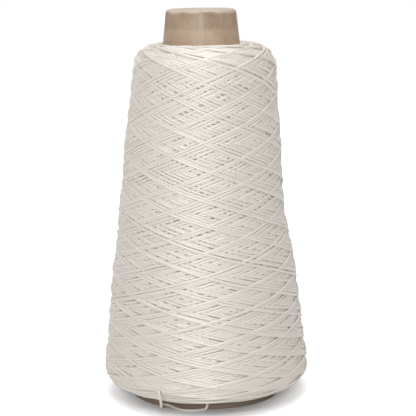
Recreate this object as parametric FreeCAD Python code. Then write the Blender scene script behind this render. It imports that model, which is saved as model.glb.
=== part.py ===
import FreeCAD, Part
import math
import os

# A paper yarn cone with a cross-wound package of cord, standing on its wide end.
# Millimetres, +Z up, origin at the centre of the cone's base on the floor.

# Paper cone
cone_height = 170.0
cone_base_radius = 32.9
cone_half_angle = math.radians(5.95)
cover_ply = 0.2
board_ply = 1.1
liner_ply = 0.2
nose_round = 2.0
lip_depth = 6.0
seam_azimuth = -90.0
seam_gap_angle = 1.2

# Cord
cord_diameter = 1.3
crossing_gap = 0.5
core_gap = 0.25
end_bend_radius = 1.5

# Package of cord on the cone, outside of the last layer
bare_foot = 3.6
bare_nose = 13.7
underside_radius = 36.5
widest_radius = 44.9
widest_rise = 6.4
shoulder_radius = 31.0
shoulder_drop = 10.5
crown_radius = 21.0
belly_share = 0.29
belly_swell = 0.4
waist_share = 0.61
waist_hollow = 1.15
neck_share = 0.80
neck_hollow = 0.4

# Passes of the last layer. A pair is a climb and the descent after it. It ends a little short of whole
# turns, so that the reversals step evenly round the package. A span is about a quarter turn.
pair_count = 6
turns_per_pair = 4.0 - 1.0 / pair_count
spans_per_pass = 8
reversal_half_angle = 15.0
reversal_margin = 1.5
start_azimuth = -111.0

# Free end of the cord: route points of its centre line, from the last pass, over the foot, along the
# floor and up into the underside of the package
tail_route = [
    (-19.9, -41.0, 9.9),
    (-19.4, -41.0, 7.1),
    (-19.1, -39.7, 4.7),
    (-19.1, -37.5, 3.1),
    (-19.3, -35.0, 2.4),
    (-19.5, -32.6, 2.1),
    (-19.3, -30.1, 1.9),
    (-17.6, -29.4, 1.7),
    (-15.1, -31.1, 1.3),
    (-12.5, -33.8, 0.8),
    (-9.0, -36.0, 0.65),
    (-5.2, -36.3, 0.65),
    (-2.3, -35.1, 0.65),
    (0.5, -34.6, 0.8),
    (0.5, -34.6, bare_foot),
]

# Values that follow from the ones above
cord_radius = cord_diameter / 2
cone_wall = cover_ply + board_ply + liner_ply
level_step = cord_diameter + crossing_gap
layer_depth = core_gap + cord_diameter + level_step
package_bottom = bare_foot
package_top = cone_height - bare_nose
widest_height = package_bottom + widest_rise
shoulder_height = package_top - shoulder_drop
reversal_low = widest_height + reversal_margin
reversal_high = shoulder_height - reversal_margin

origin = FreeCAD.Vector(0, 0, 0)
up = FreeCAD.Vector(0, 0, 1)


def at(radius, height):
    return FreeCAD.Vector(radius, 0, height)


def cone_radius(height):
    return cone_base_radius - height * math.tan(cone_half_angle)


def line(start, end):
    return Part.LineSegment(start, end).toShape()


def arc(start, middle, end):
    return Part.Arc(start, middle, end).toShape()


def revolved(edges, degrees=360.0):
    face = Part.Face(Part.Wire(edges))
    return face.revolve(origin, up, degrees)


def quarter_round(flat_end, side_end):
    """Arc of about a quarter turn that leaves the flat end level and meets the side end upright."""
    share = math.sqrt(0.5)
    middle = at(
        flat_end.x + share * (side_end.x - flat_end.x),
        side_end.z + share * (flat_end.z - side_end.z),
    )
    return arc(flat_end, middle, side_end)


# Plies of the cone: each follows the wall up, round the nose and down the rolled-in lip


def cone_ply(outer_depth, inner_depth, degrees=360.0):
    """One ply of the wall, between two depths measured inward from the cone's outer face."""
    face_out = math.cos(cone_half_angle)
    face_up = math.sin(cone_half_angle)
    bend_height = cone_height - nose_round
    tangent_height = bend_height + nose_round * face_up
    bend_radius = cone_radius(tangent_height) - nose_round * face_out
    lip_end = bend_height - lip_depth

    def wall_point(depth):
        reach = nose_round - depth
        return at(bend_radius + reach * face_out, bend_height + reach * face_up)

    def foot_point(depth):
        return at(cone_base_radius - depth / face_out, 0)

    def crest_point(depth):
        return at(bend_radius, bend_height + nose_round - depth)

    def lip_point(depth, height):
        return at(bend_radius - nose_round + depth, height)

    return revolved([
        line(foot_point(outer_depth), wall_point(outer_depth)),
        arc(wall_point(outer_depth), crest_point(outer_depth), lip_point(outer_depth, bend_height)),
        line(lip_point(outer_depth, bend_height), lip_point(outer_depth, lip_end)),
        line(lip_point(outer_depth, lip_end), lip_point(inner_depth, lip_end)),
        line(lip_point(inner_depth, lip_end), lip_point(inner_depth, bend_height)),
        arc(lip_point(inner_depth, bend_height), crest_point(inner_depth), wall_point(inner_depth)),
        line(wall_point(inner_depth), foot_point(inner_depth)),
        line(foot_point(inner_depth), foot_point(outer_depth)),
    ], degrees)


def cover_sheet():
    """The cover ply is a sheet rolled once round, so its two edges leave a narrow upright seam."""
    sheet = cone_ply(0, cover_ply, 360.0 - seam_gap_angle)
    sheet.rotate(origin, up, seam_azimuth + seam_gap_angle / 2)
    return sheet


# Package of cord


def side_point(share, offset):
    """Point of the package's side, from the widest ring, share 0, to the shoulder, share 1."""
    height = widest_height + share * (shoulder_height - widest_height)
    radius = widest_radius + share * (shoulder_radius - widest_radius)
    return at(radius + offset, height)


def side_curve(depth):
    """Meridian of the package's side, drawn in by a depth."""
    curve = Part.BSplineCurve()
    curve.interpolate([
        side_point(0, -depth),
        side_point(belly_share, belly_swell - depth),
        side_point(waist_share, -waist_hollow - depth),
        side_point(neck_share, -neck_hollow - depth),
        side_point(1, -depth),
    ])
    return curve


def side_radius(curve, height, tolerance=1e-7):
    """Radius of a side curve at a height, by halving."""
    low = curve.FirstParameter
    high = curve.LastParameter
    while high - low > tolerance:
        middle = (low + high) / 2
        if curve.value(middle).z < height:
            low = middle
        else:
            high = middle
    return curve.value(low).x


def wound_core():
    """Dense mass of the inner windings, seated on the cone, under the last layer."""
    side = side_curve(layer_depth)
    side_foot = side.StartPoint
    side_head = side.EndPoint
    seat_foot = at(cone_radius(package_bottom), package_bottom)
    seat_head = at(cone_radius(package_top), package_top)
    underside_edge = at(underside_radius, package_bottom)
    crown_edge = at(crown_radius, package_top)
    return revolved([
        line(seat_foot, underside_edge),
        quarter_round(underside_edge, side_foot),
        side.toShape(),
        quarter_round(crown_edge, side_head),
        line(crown_edge, seat_head),
        line(seat_head, seat_foot),
    ])


# Paths of the cord


def tangent_arc(start, tangent, end):
    """Arc from start to end that leaves the start along a tangent."""
    chord = end - start
    along = FreeCAD.Vector(chord).normalize()
    turn = tangent.getAngle(along)
    aside = tangent - along * tangent.dot(along)
    aside.normalize()
    middle = start + chord * 0.5 + aside * (chord.Length / 2 * math.tan(turn / 2))
    return arc(start, middle, end)


def biarc(start, start_tangent, end, end_tangent):
    """Two arcs from start to end, tangent to each other and to both end directions."""
    span = end - start
    both = start_tangent + end_tangent
    bend = 1 - start_tangent.dot(end_tangent)
    reach = span.dot(both)
    arm = (math.sqrt(reach * reach + 2 * bend * span.dot(span)) - reach) / (2 * bend)
    joint = (start + start_tangent * arm + end - end_tangent * arm) * 0.5
    middle_tangent = ((end - end_tangent * arm) - (start + start_tangent * arm)).normalize()
    return [tangent_arc(start, start_tangent, joint), tangent_arc(joint, middle_tangent, end)]


def winding_radius(side, height, level):
    """Radius of the cord's centre line: level 0 lies next to the core, level 1 is outermost."""
    return side_radius(side, height) + core_gap + cord_radius + level * level_step


def directions(azimuth):
    """Outward direction at an azimuth, and the direction in which the cord travels there."""
    angle = math.radians(azimuth)
    outward = FreeCAD.Vector(math.cos(angle), math.sin(angle), 0)
    travel = FreeCAD.Vector(-math.sin(angle), math.cos(angle), 0)
    return outward, travel


def station(side, azimuth, height, level, climb, probe=1.0):
    """Place and direction of the cord at an azimuth, for a climb in millimetres per degree of travel."""
    outward, travel = directions(azimuth)
    radius = winding_radius(side, height, level)
    lean = (winding_radius(side, height + probe, level) - radius) / probe
    rise = climb * math.degrees(1)
    direction = travel * radius + up * rise + outward * (rise * lean)
    return outward * radius + up * height, direction.normalize()


def winding_start(side):
    """First end of the cord: its root on the core, and the stations that lead it straight out and
    then bend it into the line of travel."""
    outward, travel = directions(start_azimuth)
    root = outward * side_radius(side, widest_height) + up * widest_height
    bend_start = root + outward * cord_diameter
    bend_end = bend_start + (outward + travel) * end_bend_radius
    return root, [(bend_start, outward), (bend_end, travel)]


def winding_stations(side):
    """Stations of every pass, in order. Climbs run inside, descents outside, and each pass begins
    where the one before it reversed."""
    sweep = 360.0 * turns_per_pair / 2
    free_sweep = sweep - 2 * reversal_half_angle
    climb = (reversal_high - reversal_low) / free_sweep
    stations = []
    for number in range(2 * pair_count):
        climbing = number % 2 == 0
        level = 0 if climbing else 1
        for step in range(spans_per_pass + 1):
            travelled = number * sweep + reversal_half_angle + step * free_sweep / spans_per_pass
            share = step / spans_per_pass
            if not climbing:
                share = 1 - share
            height = reversal_low + share * (reversal_high - reversal_low)
            signed_climb = climb if climbing else -climb
            stations.append(station(side, start_azimuth + travelled, height, level, signed_climb))
    return stations


def winding_edges():
    """Centre line of the whole last layer, one unbroken run of arcs from the core to the free end."""
    side = side_curve(layer_depth)
    root, stations = winding_start(side)
    first_bend = stations[0][0]
    stations += winding_stations(side)
    free_end = FreeCAD.Vector(*tail_route[0])
    free_direction = (FreeCAD.Vector(*tail_route[1]) - free_end).normalize()
    last_bend = free_end - free_direction * cord_diameter
    stations.append((last_bend, free_direction))
    edges = [line(root, first_bend)]
    for (start, start_tangent), (end, end_tangent) in zip(stations, stations[1:]):
        edges += biarc(start, start_tangent, end, end_tangent)
    edges.append(line(last_bend, free_end))
    return edges


def rounded_route(points, cut_share=0.45):
    """Straight runs joined by tangent arcs. Each arc takes a share of the shorter run beside it."""
    corners = [FreeCAD.Vector(*point) for point in points]
    edges = []
    radii = []
    here = corners[0]
    for before, corner, after in zip(corners, corners[1:], corners[2:]):
        arrive = corner - before
        leave = after - corner
        cut = cut_share * min(arrive.Length, leave.Length)
        arrive.normalize()
        leave.normalize()
        arc_start = corner - arrive * cut
        arc_end = corner + leave * cut
        edges.append(line(here, arc_start))
        edges.append(tangent_arc(arc_start, arrive, arc_end))
        radii.append(cut / math.tan(arrive.getAngle(leave) / 2))
        here = arc_end
    edges.append(line(here, corners[-1]))
    return edges, radii


def cord_along(edges):
    """Round cord swept along a chain of edges."""
    path = Part.Wire(edges)
    first = edges[0]
    start = first.valueAt(first.FirstParameter)
    direction = first.tangentAt(first.FirstParameter)
    section = Part.Wire(Part.makeCircle(cord_radius, start, direction))
    pipe = Part.BRepOffsetAPI.MakePipeShell(path)
    pipe.add(section)
    pipe.build()
    pipe.makeSolid()
    return pipe.shape()


def least_gap(edges, step=0.4, reach=3.0, near=8.0):
    """Least clear gap of a cord to itself, measured between points a step apart on its centre line.
    Pairs closer along the cord than the near length are left out."""
    points = []
    travelled = []
    total = 0.0
    for edge in edges:
        count = max(2, int(edge.Length / step) + 1)
        for index, point in enumerate(edge.discretize(count)[:-1]):
            points.append(point)
            travelled.append(total + index * edge.Length / (count - 1))
        total += edge.Length
    cells = {}
    least = reach
    for index, point in enumerate(points):
        home = (int(point.x // reach), int(point.y // reach), int(point.z // reach))
        for dx in (-1, 0, 1):
            for dy in (-1, 0, 1):
                for dz in (-1, 0, 1):
                    for other in cells.get((home[0] + dx, home[1] + dy, home[2] + dz), ()):
                        if travelled[index] - travelled[other] > near:
                            least = min(least, point.distanceToPoint(points[other]))
        cells.setdefault(home, []).append(index)
    return least - cord_diameter


def report(name, solid, edges):
    length = sum(edge.Length for edge in edges)
    expected = math.pi * cord_radius ** 2 * length
    print(f"{name}: length {length:.1f}, volume {solid.Volume:.1f}, section times length {expected:.1f}")


os.makedirs("parts", exist_ok=True)

winding_line = winding_edges()
winding = cord_along(winding_line)
report("outer winding", winding, winding_line)
print(f"outer winding: {pair_count * turns_per_pair:.1f} turns, least gap to itself {least_gap(winding_line):.2f}")

tail_line, tail_radii = rounded_route(tail_route)
tail = cord_along(tail_line)
report("thread tail", tail, tail_line)
print("thread tail radii:", ", ".join(f"{radius:.1f}" for radius in tail_radii))

pieces = {
    "cone_outer_ply": cover_sheet(),
    "cone_board": cone_ply(cover_ply, cover_ply + board_ply),
    "cone_liner": cone_ply(cover_ply + board_ply, cone_wall),
    "wound_core": wound_core(),
    "outer_winding": winding,
    "thread_tail": tail,
}
for name, solid in pieces.items():
    print(f"{name}: valid {solid.isValid()}, solids {len(solid.Solids)}, volume {solid.Volume:.0f}")
    solid.exportStep(f"parts/{name}.step")
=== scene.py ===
import math

import bpy
import numpy as np
from mathutils import Matrix, Vector


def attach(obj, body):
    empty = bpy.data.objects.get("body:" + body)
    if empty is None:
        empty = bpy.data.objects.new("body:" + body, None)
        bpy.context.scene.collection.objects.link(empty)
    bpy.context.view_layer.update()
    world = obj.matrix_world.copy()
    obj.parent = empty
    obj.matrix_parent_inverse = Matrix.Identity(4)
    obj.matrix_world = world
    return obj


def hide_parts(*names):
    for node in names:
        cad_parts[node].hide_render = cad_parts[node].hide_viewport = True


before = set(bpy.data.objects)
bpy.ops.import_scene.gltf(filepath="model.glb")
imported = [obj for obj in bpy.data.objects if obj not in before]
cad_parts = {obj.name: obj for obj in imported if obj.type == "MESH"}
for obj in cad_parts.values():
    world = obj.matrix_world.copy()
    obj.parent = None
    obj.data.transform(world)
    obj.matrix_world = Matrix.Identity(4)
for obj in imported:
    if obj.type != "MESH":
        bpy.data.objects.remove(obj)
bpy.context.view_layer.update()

# Board of the cone
# The stiff middle of the cone's wall. Grey-brown chipboard is wound in plies, dried on a mandrel and rolled
# in at the nose. Its cut edge shows at the base.

board_dark = (0.44, 0.36, 0.28, 1)
board_pale = (0.62, 0.53, 0.43, 1)
board_roughness = 0.85
board_fibre_height = 0.00006

patch_scale = 160.0
fibre_scale = 900.0


class Shade:
    """A socket in a material's node tree. Sums on it add Math nodes."""

    def __init__(self, tree, socket=None):
        self.tree = tree
        self.socket = socket

    def node(self, kind, settings=None, sockets=None, output=0):
        """Adds a node with its settings, then the values or links of its sockets."""
        made = self.tree.nodes.new(kind)
        for name, value in (settings or {}).items():
            setattr(made, name, value)
        for name, value in (sockets or {}).items():
            if isinstance(value, Shade):
                self.tree.links.new(value.socket, made.inputs[name])
            else:
                made.inputs[name].default_value = value
        return Shade(self.tree, made.outputs[output] if made.outputs else None)

    def math(self, operation, first, second=0.0):
        return self.node("ShaderNodeMath", {"operation": operation}, {0: first, 1: second})

    def __add__(self, other):
        return self.math("ADD", self, other)

    def __radd__(self, other):
        return self.math("ADD", other, self)

    def __sub__(self, other):
        return self.math("SUBTRACT", self, other)

    def __rsub__(self, other):
        return self.math("SUBTRACT", other, self)

    def __mul__(self, other):
        return self.math("MULTIPLY", self, other)

    def __rmul__(self, other):
        return self.math("MULTIPLY", other, self)

    def between(self, low, high):
        """A share from 0 at low to 1 at high."""
        sockets = {"Value": self, "From Min": low, "From Max": high}
        return self.node("ShaderNodeMapRange", {"interpolation_type": "SMOOTHSTEP"}, sockets)


def new_material(name):
    """A material with no nodes yet, and the shade that adds them."""
    material = bpy.data.materials.new(name)
    material.use_nodes = True
    material.node_tree.nodes.clear()
    return material, Shade(material.node_tree)


def blend_colours(shade, share, first, second):
    """A colour from first, where share is 0, to second, where it is 1."""
    return shade.node("ShaderNodeMix", {"data_type": "RGBA"}, {0: share, 6: first, 7: second}, output=2)


def finish_surface(shade, sockets):
    """Ends a material in one Principled surface."""
    surface = shade.node("ShaderNodeBsdfPrincipled", None, sockets)
    shade.node("ShaderNodeOutputMaterial", None, {"Surface": surface})


def fibre_noise(shade, stretch, scale, detail=4.0):
    """Noise from 0 to 1 over the object's own places, stretched along each axis."""
    place = shade.node("ShaderNodeTexCoord", output=3)
    stretched = shade.node("ShaderNodeMapping", None, {"Vector": place, "Scale": stretch})
    return shade.node("ShaderNodeTexNoise", None, {"Vector": stretched, "Scale": scale, "Detail": detail})


def raised(shade, strength, distance, height):
    """The normal of a surface that rises by a distance in metres as height goes from 0 to 1."""
    return shade.node("ShaderNodeBump", None, {"Strength": strength, "Distance": distance, "Height": height})


def paper_noise(shade):
    """Patches and fibres in paper, and the tone that the two give together."""
    patches = fibre_noise(shade, (1, 1, 0.6), patch_scale)
    fibres = fibre_noise(shade, (1, 1, 3), fibre_scale, 2.0)
    return patches, fibres, (patches * 0.6 + fibres * 0.4).between(0.3, 0.7)


def paper(name, dark, pale, fibre_height, roughness):
    """Matte paper of short fibres, paler and darker in patches."""
    material, shade = new_material(name)
    patches, fibres, tone = paper_noise(shade)
    rough = fibres * 0.15 + (roughness - 0.07)
    normal = raised(shade, 0.6, fibre_height, tone)
    colour = blend_colours(shade, tone, dark, pale)
    finish_surface(shade, {"Base Color": colour, "Roughness": rough, "Normal": normal, "IOR": 1.45})
    return material


def finish_node(name, material):
    """Gives a solid of the frame its finish."""
    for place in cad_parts[name].material_slots:
        place.material = material


finish_node("cone_board", paper("chipboard", board_dark, board_pale, board_fibre_height, board_roughness))

# Liner of the cone
# Inner kraft ply, which faces the bore. It is wound first and keeps the cone smooth for its holder.

liner_dark = (0.28, 0.20, 0.135, 1)
liner_pale = (0.42, 0.32, 0.225, 1)
liner_roughness = 0.75
liner_fibre_height = 0.00003

finish_node("cone_liner", paper("kraft_liner", liner_dark, liner_pale, liner_fibre_height, liner_roughness))

# Cover of the cone
# Outer kraft ply, one sheet glued round the board with a straight lap seam at the front. The nose is darker
# where it is rolled in, partly rubbed paper and partly painted shade where bounce light from the crown fades.
# Its rim is paler, partly worn and partly a painted highlight, the seam's edge is a pale line, and its foot
# is painted darker as shade.

cover_dark = (0.45, 0.315, 0.21, 1)
cover_pale = (0.61, 0.46, 0.33, 1)
rubbed_and_shaded_dark = (0.34, 0.224, 0.143, 1)
rubbed_and_shaded_pale = (0.50, 0.362, 0.25, 1)
worn_and_highlit_paper = (0.66, 0.56, 0.46, 1)
foot_shade = (0.19, 0.14, 0.105, 1)

# Heights over which the paper turns darker (rubbed, and painted shade), paler at the rim (worn, and a painted
# highlight) and painted darker at the foot as shade
rubbed_and_shaded_from = (0.1605, 0.1630)
rim_from = (0.1680, 0.1693)
foot_shade_below = (0.011, 0.006)
edge_wander = 0.003
rim_wear_and_highlight = 0.85
foot_shade_strength = 0.8

# The seam's edge, a pale uneven line on the front of the cone only
seam_half_width = 0.0007
seam_fade = 1.6
seam_wander = 0.0006
front_from = (-0.010, -0.012)

cover_roughness = 0.62
cover_fibre_height = 0.00004


def cover_material():
    """The paper of the cover: darker round the nose, partly rubbed and partly painted shade; paler at its
    rim, partly worn and partly a painted highlight; a pale line at its seam; painted shade at its foot.
    """
    material, shade = new_material("kraft_cover")
    place = shade.node("ShaderNodeTexCoord", output=3)
    across = shade.node("ShaderNodeSeparateXYZ", None, {0: place}, output=0)
    depth = shade.node("ShaderNodeSeparateXYZ", None, {0: place}, output=1)
    height = shade.node("ShaderNodeSeparateXYZ", None, {0: place}, output=2)
    patches, fibres, tone = paper_noise(shade)
    uneven = height + (patches - 0.5) * edge_wander
    rubbed_and_shaded = uneven.between(*rubbed_and_shaded_from)
    rim = uneven.between(*rim_from)
    off_seam = shade.math("ABSOLUTE", across + (patches - 0.5) * seam_wander)
    seam = off_seam.between(seam_half_width * seam_fade, seam_half_width)
    seam = seam * depth.between(*front_from) * (patches * 0.4 + 0.05)
    plain = blend_colours(shade, tone, cover_dark, cover_pale)
    smooth = blend_colours(shade, tone, rubbed_and_shaded_dark, rubbed_and_shaded_pale)
    # Darker above the band: partly rubbed paper, partly painted shade where bounce light from the crown fades
    colour = blend_colours(shade, rubbed_and_shaded, plain, smooth)
    # Paler rim: partly worn paper, partly a painted highlight on the rolled lip; the seam's edge is a pale
    # line
    colour = blend_colours(shade, shade.math("MAXIMUM", rim * rim_wear_and_highlight, seam), colour, worn_and_highlit_paper)
    # Painted shade: the foot is darkened as the shade under the package's overhang
    colour = blend_colours(shade, uneven.between(*foot_shade_below) * foot_shade_strength, colour, foot_shade)
    rough = cover_roughness - rubbed_and_shaded * 0.14 + fibres * 0.1
    normal = raised(shade, 0.6, cover_fibre_height, tone)
    finish_surface(shade, {"Base Color": colour, "Roughness": rough, "Normal": normal, "IOR": 1.45})
    return material


finish_node("cone_outer_ply", cover_material())

# Inner windings
# The dense mass of the cord's inner turns, wound crosswise straight onto the cone. It shows only through
# the gaps of the last layers.

mm = 0.001

# Outline of the package from its underside to its crown, as radius and height
outline = [
    (32.6, 4.9), (36.5, 4.6), (40.2, 5.4), (42.6, 6.9), (44.1, 9.1), (44.7, 11.6), (43.5, 24.4),
    (41.8, 42), (39.8, 60), (37.5, 73.7), (36.0, 87), (34.9, 98), (34.4, 109), (32.9, 124),
    (31.7, 135), (31.1, 142.6), (30.2, 148.5), (28.4, 151.3), (25.4, 153.4), (20.5, 154.7), (16.5, 153.9),
]
inner_depth = 1.1
outline_step = 0.3

# How far the package leans sideways at each height, and where that fades out next to the cone
lean_heights = [3, 24, 42, 68, 85, 92, 111, 130, 142, 150, 156]
lean_offsets = [0.1, 0.25, -0.05, -0.15, -1.0, -0.45, -0.1, 0.65, 1.25, 1.3, 1.0]
lean_from_radius = 17
lean_fade = 6


def smooth_line(points, step):
    """Points about a step apart on a smooth curve through the given ones."""
    points = np.array(points, float)
    runs = np.linalg.norm(np.diff(points, axis=0), axis=1)
    along = np.concatenate([[0], np.cumsum(runs)])
    slopes = np.gradient(points, along, axis=0)
    places = np.arange(0, along[-1], step)
    run = np.searchsorted(along, places, side="right") - 1
    share = ((places - along[run]) / runs[run])[:, None]
    width = runs[run][:, None]
    return (
        points[run] * (2 * share**3 - 3 * share**2 + 1)
        + points[run + 1] * (3 * share**2 - 2 * share**3)
        + slopes[run] * width * (share**3 - 2 * share**2 + share)
        + slopes[run + 1] * width * (share**3 - share**2)
    )


skin = smooth_line(outline, outline_step)
skin_along = np.concatenate([[0], np.cumsum(np.linalg.norm(np.diff(skin, axis=0), axis=1))])
skin_slope = np.gradient(skin, skin_along, axis=0)
skin_slope /= np.linalg.norm(skin_slope, axis=1)[:, None]
skin_out = np.stack([skin_slope[:, 1], -skin_slope[:, 0]], 1)
skin_turn = np.gradient(np.unwrap(np.arctan2(skin_slope[:, 1], skin_slope[:, 0])), skin_along)


def on_package(azimuth, along, height):
    """Places on the package, by the way round, the way up its outline and the height above that outline."""
    out = np.stack([np.interp(along, skin_along, skin_out[:, axis]) for axis in (0, 1)], -1)
    place = np.stack([np.interp(along, skin_along, skin[:, axis]) for axis in (0, 1)], -1)
    place = place + out * height[..., None]
    lean = np.interp(place[..., 1], lean_heights, lean_offsets)
    lean = lean * ((place[..., 0] - lean_from_radius) / lean_fade).clip(0, 1)
    across = place[..., 0] * np.cos(azimuth) + lean
    return np.stack([across, place[..., 0] * np.sin(azimuth), place[..., 1]], -1)


def build_mesh(name, corners, faces, texture_places=None):
    """An object of flat faces with as many corners each, given in millimetres."""
    mesh = bpy.data.meshes.new(name)
    size = faces.shape[1]
    mesh.vertices.add(len(corners))
    mesh.vertices.foreach_set("co", (corners * mm).astype(np.float32).ravel())
    mesh.loops.add(faces.size)
    mesh.loops.foreach_set("vertex_index", faces.astype(np.int32).ravel())
    mesh.polygons.add(len(faces))
    mesh.polygons.foreach_set("loop_start", np.arange(0, faces.size, size, dtype=np.int32))
    mesh.polygons.foreach_set("use_smooth", np.ones(len(faces), bool))
    mesh.update(calc_edges=True)
    if texture_places is not None:
        layer = mesh.uv_layers.new(name="OFBake")
        layer.uv.foreach_set("vector", texture_places.astype(np.float32).ravel())
    mesh.validate()
    made = bpy.data.objects.new(name, mesh)
    bpy.context.scene.collection.objects.link(made)
    return made


columns_round = 360
rows_apart = 3
ridge_count = 60
ridge_climb = 14
ridge_height = 0.25
inner_azimuth = np.linspace(0, 2 * math.pi, columns_round, endpoint=False)
inner_along = skin_along[::rows_apart]
inner_round, inner_up = np.meshgrid(inner_azimuth, inner_along, indexing="ij")
climbing = np.cos(ridge_count * (inner_round + inner_up / ridge_climb))
falling = np.cos(ridge_count * (inner_round - inner_up / ridge_climb))
inner_rise = ridge_height * (climbing + falling) / 2 - ridge_height
inner_corners = on_package(inner_round, inner_up, inner_rise - inner_depth)
rows = len(inner_along)
row = np.arange(rows)[None, :]
next_row = (row + 1) % rows
column = np.arange(columns_round)[:, None] * rows
next_column = (column + rows) % (columns_round * rows)
inner_faces = np.stack([column + row, next_column + row, next_column + next_row, column + next_row], -1)

# Painted light: paler than the outer cord, so the gaps between the last layers look lit
inner_dark_painted_lighter = (0.62, 0.57, 0.50, 1)
inner_pale_painted_lighter = (0.80, 0.76, 0.70, 1)
inner_roughness = 0.7
inner_bump_height = 0.0002


def inner_material():
    """The same cord, deep in the package, where only crossing ridges show, painted paler than the outer cord
    as painted light in the gaps.
    """
    material, shade = new_material("inner_cord")
    ridges = fibre_noise(shade, (1, 1, 4), 700.0, 3.0)
    normal = raised(shade, 0.7, inner_bump_height, ridges)
    colour = blend_colours(shade, ridges.between(0.3, 0.7), inner_dark_painted_lighter, inner_pale_painted_lighter)
    finish_surface(shade, {"Base Color": colour, "Roughness": inner_roughness, "Normal": normal})
    return material


inner_windings = build_mesh("inner_windings", inner_corners.reshape(-1, 3), inner_faces.reshape(-1, 4))
inner_windings.data.materials.append(inner_material())
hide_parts("wound_core")
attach(inner_windings, "root")

# Outer winding
# The last layers of the same cord. The traverse carries it up and down the cone while the cone turns, so
# climbs and descents cross in diamonds, and each stretch lies on whatever was wound before it.

cord_dark_and_groove_shade = (0.49, 0.425, 0.342, 1)
cord_pale = (0.685, 0.611, 0.523, 1)
cord_roughness = 0.56
cord_bump_height = 0.00015
plies = 3

# The drawn-out filaments, as noise on a circle round the cord and one along it
filament_circle = 3.2
filament_length = 1.1
filament_scale = 2.2


def cord_material():
    """Off-white plied cord: three plies that wind round it, each of fine drawn-out filaments. The grooves
    between the plies are painted darker as painted shade.
    """
    material, shade = new_material("cord")
    place = shade.node("ShaderNodeUVMap", {"uv_map": "OFBake"})
    lengthwise = shade.node("ShaderNodeSeparateXYZ", None, {0: place}, output=0)
    round_it = shade.node("ShaderNodeSeparateXYZ", None, {0: place}, output=1)
    ply_turn = (round_it - lengthwise) * (plies * math.pi)
    ply = shade.math("ABSOLUTE", shade.math("COSINE", ply_turn)).between(0.0, 0.75)
    round_angle = round_it * (2 * math.pi)
    length_angle = lengthwise * (2 * math.pi)
    circle = shade.node(
        "ShaderNodeCombineXYZ",
        None,
        {
            0: shade.math("COSINE", round_angle) * filament_circle,
            1: shade.math("SINE", round_angle) * filament_circle,
            2: shade.math("COSINE", length_angle) * filament_length,
        },
    )
    along = shade.math("SINE", length_angle) * filament_length
    filaments = shade.node(
        "ShaderNodeTexNoise",
        {"noise_dimensions": "4D"},
        {"Vector": circle, "W": along, "Scale": filament_scale, "Detail": 3.0},
    )
    # Painted shade: the grooves between the plies are darker; the filaments vary the tone at random
    tone = (ply * 0.7 + filaments * 0.45).between(0.15, 0.9)
    sockets = {
        "Base Color": blend_colours(shade, tone, cord_dark_and_groove_shade, cord_pale),
        "Roughness": cord_roughness - tone * 0.05,
        "Normal": raised(shade, 0.35, cord_bump_height, ply * 0.8 + filaments * 0.5),
        "Specular IOR Level": 1.0,
        "IOR": 2.2,
        "Sheen Weight": 0.15,
        "Sheen Roughness": 0.4,
    }
    finish_surface(shade, sockets)
    return material


cord_finish = cord_material()

random = np.random.default_rng(7)

column_count = 900
row_step = 0.3
column_angle = 2 * math.pi / column_count
row_count = int(skin_along[-1] / row_step) + 2

# Top of the pile above the package's outline, and the growth that was taken off to keep it there
pile = np.zeros((row_count, column_count))
growth = np.zeros_like(pile)

# The cord lies a little flattened on the package and presses into the cord below. The pile under it is
# measured at a few places across its width.
half_width = 0.68
half_thickness = 0.58
squeeze = 0.45
slack = 4.0
azimuth_step = 0.0065
feeler_reach = 0.92
feeler_count = 7
offsets = half_width * np.linspace(-feeler_reach, feeler_reach, feeler_count)
rise = half_thickness * np.sqrt(1 - (offsets / half_width) ** 2)

# Climb up the outline in millimetres for each radian that the cone turns. It grows with the height and is
# slower near both ends.
least_climb = 9.0
climb_growth = 0.04
slowed_heights = [5, 18, 140, 155]
slowed_shares = [0.45, 1, 1, 0.4]
climb_rate = least_climb + climb_growth * skin[:, 1]
climb_rate *= np.interp(skin[:, 1], slowed_heights, slowed_shares)
skin_climb = np.concatenate([[0], np.cumsum(np.diff(skin_along) / climb_rate[1:])])


def climb_at(height_on_side):
    """The climb from the underside to a height on the package's side."""
    side = slice(np.argmin(skin[:, 1]), np.argmax(skin[:, 1]))
    return np.interp(height_on_side, skin[side, 1], skin_climb[side])


def taut(steps, needed, bend):
    """Heights of a taut cord over the heights that it needs, on a surface that bends away from it."""
    place = np.cumsum(steps)
    fall = np.cumsum(np.cumsum(bend * steps) * steps)
    level = needed - fall
    held = [0]
    for index in range(1, len(place)):
        while len(held) > 1:
            first, second = held[-2], held[-1]
            rise_to_new = (level[index] - level[first]) * (place[second] - place[first])
            if (level[second] - level[first]) * (place[index] - place[first]) > rise_to_new:
                break
            held.pop()
        held.append(index)
    return np.interp(place, place[held], level[held]) + fall


def on_grid(grid, azimuth, along):
    """Values of a grid between its columns and rows."""
    column = (azimuth / column_angle) % column_count
    row = (along / row_step).clip(0, row_count - 1.001)
    left = column.astype(int) % column_count
    right = (left + 1) % column_count
    low = row.astype(int)
    share_round = column % 1
    share_up = row - low
    lower = grid[low, left] * (1 - share_round) + grid[low, right] * share_round
    upper = grid[low + 1, left] * (1 - share_round) + grid[low + 1, right] * share_round
    return lower * (1 - share_up) + upper * share_up


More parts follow.
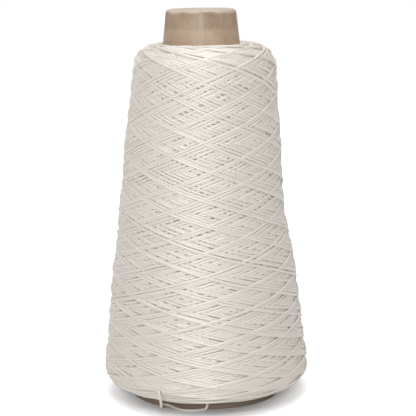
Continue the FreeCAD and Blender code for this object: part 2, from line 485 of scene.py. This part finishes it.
def lay(azimuth, along):
    """Lays a stretch of cord on the pile and returns the heights of its centre, with the growth so far."""
    radius = np.interp(along, skin_along, skin[:, 0])
    step_round = radius * np.gradient(azimuth)
    step_up = np.gradient(along)
    steps = np.hypot(step_round, step_up)
    share_round = (step_round / steps)[:, None]
    share_up = (step_up / steps)[:, None]
    columns = ((azimuth[:, None] - offsets * share_up / radius[:, None]) / column_angle).astype(int)
    columns %= column_count
    rows_under = ((along[:, None] + offsets * share_round) / row_step).astype(int)
    rows_under = rows_under.clip(0, row_count - 1)
    needed = (pile[rows_under, columns] + rise).max(axis=1) - squeeze
    out = np.interp(along, skin_along, skin_out[:, 0])
    turn = np.interp(along, skin_along, skin_turn)
    bend = share_round[:, 0] ** 2 * out / radius + share_up[:, 0] ** 2 * turn
    heights = taut(steps, needed, slack * bend)
    np.maximum.at(pile, (rows_under, columns), heights[:, None] + rise)
    return heights + on_grid(growth, azimuth, along)


level_width = 3.0
coarse = 3
highest = 1.4
mean_radius = 36


def soften(grid, width, steps):
    """A grid's values, spread over a width in millimetres both ways."""
    for axis, step in enumerate(steps):
        reach = int(3 * width / step)
        weights = np.exp(-0.5 * (np.arange(-reach, reach + 1) * step / width) ** 2)
        weights /= weights.sum()
        mode = "wrap" if axis else "edge"
        wide = np.pad(grid, [(reach, reach) if number == axis else (0, 0) for number in (0, 1)], mode=mode)
        spread = np.zeros_like(grid)
        for number, weight in enumerate(weights):
            spread += weight * np.take(wide, range(number, number + grid.shape[axis]), axis)
        grid = spread
    return grid


def settle():
    """Takes the pile's softened thickness off it, so that it keeps to the package's outline."""
    rows_kept = row_count // coarse * coarse
    blocks = pile[:rows_kept].reshape(rows_kept // coarse, coarse, column_count // coarse, coarse)
    steps = (row_step * coarse, mean_radius * column_angle * coarse)
    soft = soften(blocks.mean(axis=(1, 3)), level_width, steps)
    row = ((np.arange(row_count) + 0.5) / coarse - 0.5).clip(0, soft.shape[0] - 1.001)
    low = row.astype(int)
    soft = soft[low] * (1 - (row - low))[:, None] + soft[low + 1] * (row - low)[:, None]
    column = (np.arange(column_count) + 0.5) / coarse - 0.5
    left = np.floor(column).astype(int)
    soft = soft[:, left] * (1 - (column - left)) + soft[:, (left + 1) % soft.shape[1]] * (column - left)
    taken = soft + (pile - soft - highest).clip(0)
    growth[:] += taken
    pile[:] -= taken


strands = []
wander_size = 0.22
wander_waves = (1.2, 6.0)
wave_count = 5


def wander(azimuth):
    """Small sideways wandering of a strand, in the way up the outline."""
    waves = random.uniform(*wander_waves, wave_count)
    starts = random.uniform(0, 2 * math.pi, wave_count)
    return wander_size * np.sin(azimuth[:, None] * waves + starts).mean(axis=1) * 2


def wind(azimuth, climb):
    """Winds one stretch, by the way round and the climb, and keeps its centre line."""
    along = np.interp(climb, skin_climb, skin_along) + wander(azimuth)
    along = along.clip(half_width, skin_along[-1] - half_width)
    strands.append((azimuth, along, lay(azimuth, along)))


def rounding(turned, reversal):
    """How far a reversal, which takes this angle each way, holds a pass back from its corner."""
    return np.where(turned < reversal, turned**2 / (2 * reversal) - turned + reversal / 2, 0)


# The passes reverse at corners near the ends of the outline. A reversal that takes longer turns back sooner,
# so together they form the crown and the rounded foot.
bands = 7
turns_in_bands = 40
band_shift = 0.110
cycle_angle = (turns_in_bands * 2 * math.pi - band_shift) / bands
low_corner = 0.05
high_corner = low_corner + cycle_angle / 2
shortest_reversal = math.radians(25)
crown_reversals = math.radians(85)
foot_reversals = math.radians(140)

# Steps that spread the reversals evenly, both round the cone and up it
even_share = 0.754878
even_turn = 0.569840

# Reversals of earlier layers, each a short arc at the crown and one at the foot
leg_angle = math.radians(115)
foot_turn = 1.0
arc_count = 100
arcs_per_settling = 10
for turn_number in range(arc_count):
    swing = np.arange(-leg_angle, leg_angle, azimuth_step)
    share = (turn_number * even_share) % 1
    azimuth = turn_number * even_turn * 2 * math.pi + swing
    turned = np.abs(swing)
    wind(azimuth, high_corner - turned - rounding(turned, shortest_reversal + crown_reversals * share))
    low_climb = low_corner + turned + rounding(turned, shortest_reversal + foot_reversals * share)
    wind(azimuth + foot_turn, low_climb)
    if (turn_number + 1) % arcs_per_settling == 0:
        settle()

# Passes up and down the cone. Seven cycles are 40 turns less a small shift, so each stretch lies beside the
# one that was wound seven cycles before it.
cycle_count = 120
cycles_per_settling = 4
last_azimuth = math.radians(-116.0)
end_height = 10.2

# Each cycle starts a little early or late, but the last ones are even, so the free end keeps its place
even_cycles = 2
uneven_start = 0.028


def wind_pass(start, end):
    """Winds one pass between two reversals, each given by its azimuth, its corner and its angle."""
    azimuth = np.arange(start[0], end[0], azimuth_step)
    since = azimuth - start[0]
    until = end[0] - azimuth
    progress = since + rounding(since, start[2]) - rounding(until, end[2])
    wind(azimuth, start[1] + (end[1] - start[1]) * progress / (end[0] - start[0]))


last_top = last_azimuth - (high_corner - climb_at(end_height))
tops = []
for cycle in range(cycle_count, -1, -1):
    azimuth = last_top - cycle * cycle_angle + (random.normal(0, uneven_start) if cycle > even_cycles else 0)
    tops.append((azimuth, high_corner, shortest_reversal + crown_reversals * ((cycle * even_share) % 1)))
for cycle in range(cycle_count):
    low_azimuth = (tops[cycle][0] + tops[cycle + 1][0]) / 2
    low = (low_azimuth, low_corner, shortest_reversal + foot_reversals * ((cycle * even_turn) % 1))
    wind_pass(tops[cycle], low)
    wind_pass(low, tops[cycle + 1])
    if (cycle_count - cycle) % cycles_per_settling == 0:
        settle()
no_reversal = 1e-6
wind_pass(tops[-1], (last_azimuth, climb_at(end_height), no_reversal))

ring_step = 0.75
lay_pitch = 4.2


def cord_rings(centres, outward, width, thickness, sides=8):
    """Rings, faces and texture places of a cord along its centre line, from half its width and thickness."""
    ahead = np.gradient(centres, axis=0)
    ahead /= np.linalg.norm(ahead, axis=1)[:, None]
    side = np.cross(ahead, outward)
    side /= np.linalg.norm(side, axis=1)[:, None]
    outward = np.cross(side, ahead)
    angle = 2 * math.pi * np.arange(sides) / sides
    ring_out = thickness * np.cos(angle)[:, None] * outward[:, None]
    ring_side = width * np.sin(angle)[:, None] * side[:, None]
    corners = (centres[:, None] + (ring_out + ring_side)).reshape(-1, 3)
    ring_number = np.arange(len(centres) - 1)[:, None]
    corner = np.arange(sides)[None, :]
    next_corner = (corner + 1) % sides
    first = ring_number * sides
    second = first + sides
    faces = np.stack([first + corner, first + next_corner, second + next_corner, second + corner], -1)
    run = np.linalg.norm(np.diff(centres, axis=0), axis=1)
    turns = np.concatenate([[0], np.cumsum(run)]) / lay_pitch
    length_places = np.stack([turns[:-1], turns[:-1], turns[1:], turns[1:]], -1)[:, None, :]
    round_places = np.stack([corner, corner + 1, corner + 1, corner], -1)[0][None] / sides
    places = np.stack(np.broadcast_arrays(length_places, round_places), -1)
    return corners, faces.reshape(-1, 4), places.reshape(-1, 2)


# The heights of the strands are drawn in to a flatter surface, and low ones go no deeper than a given depth
fullness = 0.6
flatten = 0.37
deepest = 0.42

# Depth under later cord from which a strand is left out. The crown shows deeper between its rings.
crown_width = 14.0
hidden_depth = 0.45
hidden_depth_at_nose = 3.0
across_turn = 0.3
rings_past_sight = 15
fewest_rings = 3

# The height that most of the last strands stay below is drawn at the package's outline
last_strands = 40
percent_below = 92

settle()
strands = [
    (azimuth, along, heights - on_grid(growth, azimuth, along)) for azimuth, along, heights in strands
]
last_heights = np.concatenate([heights for azimuth, along, heights in strands[-last_strands:]])
proud = np.percentile(last_heights, percent_below)


def in_sight(azimuth, along, heights):
    """Where a strand isn't buried under later ones."""
    shown = np.zeros(len(azimuth), bool)
    radius = np.interp(along, skin_along, skin[:, 0])
    crown = skin_along[-1] - crown_width
    depth = np.interp(along, [crown, crown + crown_width / 2], [hidden_depth, hidden_depth_at_nose])
    for offset in offsets[::2]:
        columns = ((azimuth + across_turn * offset / radius) / column_angle).astype(int) % column_count
        rows = ((along + offset) / row_step).astype(int).clip(0, row_count - 1)
        shown |= pile[rows, columns] < heights + half_thickness + depth
    return shown


def centre_lines(azimuth, along, heights):
    """The parts of a strand that show: evenly spaced points, and the way out from the package at each."""
    height = (heights - proud) * flatten + fullness
    height = np.where(height < 0, deepest * (np.exp(height / deepest) - 1), height) - half_thickness
    points = on_package(azimuth, along, height)
    run = np.concatenate([[0], np.cumsum(np.linalg.norm(np.diff(points, axis=0), axis=1))])
    places = np.linspace(0, run[-1], int(run[-1] / ring_step) + 1)
    points = np.stack([np.interp(places, run, points[:, axis]) for axis in range(3)], -1)
    shown = np.interp(places, run, in_sight(azimuth, along, heights)) > 0
    shown = np.convolve(shown, np.ones(rings_past_sight), "same") > 0
    azimuth = np.interp(places, run, azimuth)
    along = np.interp(places, run, along)
    out = np.stack([np.interp(along, skin_along, skin_out[:, axis]) for axis in (0, 1)], -1)
    outward = np.stack([out[:, 0] * np.cos(azimuth), out[:, 0] * np.sin(azimuth), out[:, 1]], -1)
    edges = np.flatnonzero(np.diff(np.concatenate([[0], shown.astype(int), [0]])))
    runs = [slice(first, last) for first, last in zip(edges[::2], edges[1::2]) if last - first > fewest_rings]
    return [(points[part], outward[part]) for part in runs]


lines = []
for strand in strands:
    lines += centre_lines(*strand)

# The last stretch turns down into the free end
tail_start = np.array([-19.9, -41.0, 9.9])
tail_heading = np.array([0.15, 0.05, -1.0])
bend_length = 7.0
start_reach = 0.55
end_reach = 0.25
points, outward = lines[-1]
distance = np.linalg.norm(points - tail_start, axis=1)
cut = np.argmax(distance < bend_length)
points, outward = points[:cut], outward[:cut]
heading = points[-1] - points[-2]
heading /= np.linalg.norm(heading)
gap = np.linalg.norm(tail_start - points[-1])
share = np.linspace(0, 1, int(gap / ring_step) + 2)[1:, None]
start_pull = points[-1] + heading * gap * start_reach
end_pull = tail_start - tail_heading * gap * end_reach
bend = (
    points[-1] * (1 - share) ** 3
    + 3 * start_pull * share * (1 - share) ** 2
    + 3 * end_pull * share**2 * (1 - share)
    + tail_start * share**3
)
bend_outward = np.repeat(outward[-1:], len(bend), 0)
lines[-1] = (np.concatenate([points, bend]), np.concatenate([outward, bend_outward]))

most_faces = 96000


def add_winding(number, corner_parts, face_parts, place_parts):
    """One piece of the winding, from the parts of its stretches."""
    corners = np.concatenate(corner_parts)
    faces = np.concatenate(face_parts)
    winding = build_mesh(f"outer_winding_{number:02d}", corners, faces, np.concatenate(place_parts))
    winding.data.materials.append(cord_finish)
    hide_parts("outer_winding")
    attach(winding, "root")


piece_number = 1
corner_parts, face_parts, place_parts = [], [], []
corner_total = face_total = 0
for points, outward in lines:
    corners, faces, places = cord_rings(points, outward, half_width, half_thickness)
    if face_total + len(faces) > most_faces:
        add_winding(piece_number, corner_parts, face_parts, place_parts)
        piece_number += 1
        corner_parts, face_parts, place_parts = [], [], []
        corner_total = face_total = 0
    corner_parts.append(corners)
    face_parts.append(faces + corner_total)
    place_parts.append(places)
    corner_total += len(corners)
    face_total += len(faces)
add_winding(piece_number, corner_parts, face_parts, place_parts)

# Free end
# The last 4 cm of the cord. It drops over the foot, lies on the floor in a shallow loop and goes back
# under the package.

tail_route = [
    (-0.0199, -0.0410, 0.0099),
    (-0.0194, -0.0410, 0.0071),
    (-0.0191, -0.0397, 0.0047),
    (-0.0191, -0.0375, 0.0031),
    (-0.0193, -0.0350, 0.0024),
    (-0.0195, -0.0326, 0.0021),
    (-0.0193, -0.0301, 0.0019),
    (-0.0176, -0.0294, 0.0017),
    (-0.0151, -0.0311, 0.0013),
    (-0.0125, -0.0338, 0.0008),
    (-0.0090, -0.0360, 0.00065),
    (-0.0052, -0.0363, 0.00065),
    (-0.0023, -0.0351, 0.00065),
    (0.0005, -0.0346, 0.0008),
    (0.0005, -0.0346, 0.0036),
]
cord_diameter = 1.3
tail_step = 0.4
tail_sides = 16
tail_facing = (0.3, -0.7, 0.6)

tail_curve = bpy.data.curves.new("tail_line", "CURVE")
tail_curve.dimensions = "3D"
tail_curve.resolution_u = 16
tail_spline = tail_curve.splines.new("NURBS")
tail_spline.points.add(len(tail_route) - 1)
for point, place in zip(tail_spline.points, tail_route):
    point.co = (*place, 1)
tail_spline.order_u = 3
tail_spline.use_endpoint_u = True
tail_guide = bpy.data.objects.new("tail_line", tail_curve)
tail_mesh = bpy.data.meshes.new_from_object(tail_guide)
tail_points = np.array([vertex.co for vertex in tail_mesh.vertices])
bpy.data.meshes.remove(tail_mesh)
bpy.data.objects.remove(tail_guide)

tail_run = np.concatenate([[0], np.cumsum(np.linalg.norm(np.diff(tail_points, axis=0), axis=1))])
tail_places = np.linspace(0, tail_run[-1], int(tail_run[-1] / mm / tail_step))
tail_line = np.stack([np.interp(tail_places, tail_run, tail_points[:, axis]) for axis in range(3)], -1)
tail_outward = np.tile(tail_facing, (len(tail_line), 1))
cord_radius = cord_diameter / 2
tail_parts = cord_rings(tail_line / mm, tail_outward, cord_radius, cord_radius, tail_sides)
tail = build_mesh("free_end", *tail_parts)
tail.data.materials.append(cord_finish)
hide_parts("thread_tail")
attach(tail, "root")

# Floor, view and light
# The package stands on a white floor, seen from a little above its nose. A large lamp above it gives soft
# light, a smaller raised one at the front left gives the cord its sheen, and a small, slightly cool one
# brightens the front.

floor_size = 3.0
floor_paint = (0.9, 0.9, 0.9, 1)

# The floor is lifted to white away from the object: a share next to its shadow and the rest further out.
# The glow fades out close to the package, so the floor there is painted grey as its contact shadow, narrower
# at the sides.
painted_shadow_stretch = (1.3, 1, 1)
painted_shadow_reach = (0.033, 0.062)
near_share = 0.5
far_fill = (0.10, 0.5)
far_share = 0.6


def seen_directly(shade):
    """1 where the camera sees the surface, also in a reflection or through something clear."""
    camera_ray, glossy_ray, transmission_ray = [
        shade.node("ShaderNodeLightPath", output=number) for number in (0, 3, 6)
    ]
    return shade.math("MAXIMUM", shade.math("MAXIMUM", camera_ray, glossy_ray), transmission_ray)


floor_mesh = bpy.data.meshes.new("floor")
corner = floor_size / 2
floor_corners = [(-corner, -corner, 0), (corner, -corner, 0), (corner, corner, 0), (-corner, corner, 0)]
floor_mesh.from_pydata(floor_corners, [], [(0, 1, 2, 3)])
floor = bpy.data.objects.new("floor", floor_mesh)
bpy.context.scene.collection.objects.link(floor)
floor_finish, shade = new_material("white_floor")
painted = shade.node("ShaderNodeBsdfDiffuse", None, {"Color": floor_paint})
place = shade.node("ShaderNodeTexCoord", output=3)
spread = shade.node("ShaderNodeVectorMath", {"operation": "MULTIPLY"}, {0: place, 1: painted_shadow_stretch})
distance = shade.node("ShaderNodeVectorMath", {"operation": "LENGTH"}, {0: spread}, output=1)
# Painted shadow: no glow within the inner reach, so the floor darkens round the package
fill = distance.between(*far_fill) * far_share + distance.between(*painted_shadow_reach) * near_share
strength = seen_directly(shade) * fill
glow = shade.node("ShaderNodeEmission", None, {"Color": (1, 1, 1, 1), "Strength": strength})
both = shade.node("ShaderNodeAddShader", None, {0: painted, 1: glow})
shade.node("ShaderNodeOutputMaterial", None, {"Surface": both})
floor_mesh.materials.append(floor_finish)

world = bpy.data.worlds.new("studio")
bpy.context.scene.world = world
world.use_nodes = True
world.node_tree.nodes.clear()
shade = Shade(world.node_tree)
room_light = 0.19
strength = seen_directly(shade) * (1 - room_light) + room_light
backdrop = shade.node("ShaderNodeBackground", None, {"Color": (1, 1, 1, 1), "Strength": strength})
shade.node("ShaderNodeOutputWorld", None, {"Surface": backdrop})


def soft_lamp(name, place, aim, size, power, colour=(1, 1, 1)):
    """A square lamp that points at a place on the object."""
    light = bpy.data.lights.new(name, "AREA")
    light.size = size
    light.energy = power
    light.color = colour
    lamp = bpy.data.objects.new(name, light)
    lamp.location = place
    lamp.rotation_euler = (Vector(aim) - Vector(place)).to_track_quat("-Z", "Y").to_euler()
    bpy.context.scene.collection.objects.link(lamp)


soft_lamp("top_lamp", (0.0, 0.15, 1.1), (0, 0, 0.1), 0.7, 5.4)
soft_lamp("key_lamp", (-0.10, -0.55, 1.03), (0, 0, 0.08), 0.3, 2.0)
soft_lamp("front_lamp", (-0.10, -0.9, 0.30), (0, 0, 0.08), 0.15, 3.2, colour=(0.88, 0.93, 1.0))

image_width = 416
focal_length = 1523.8
camera_place = (0, -0.665, 0.1944)
pitch_down = math.radians(9.557)
yaw = math.radians(0.166)
roll = math.radians(-0.75)

lens = bpy.data.cameras.new("camera")
lens.sensor_width = 36
lens.lens = lens.sensor_width * focal_length / image_width
camera = bpy.data.objects.new("camera", lens)
camera.matrix_world = (
    Matrix.Translation(camera_place)
    @ Matrix.Rotation(-yaw, 4, "Z")
    @ Matrix.Rotation(math.radians(90) - pitch_down, 4, "X")
    @ Matrix.Rotation(roll, 4, "Z")
)
bpy.context.scene.collection.objects.link(camera)
bpy.context.scene.camera = camera
bpy.context.scene.view_settings.view_transform = "Standard"
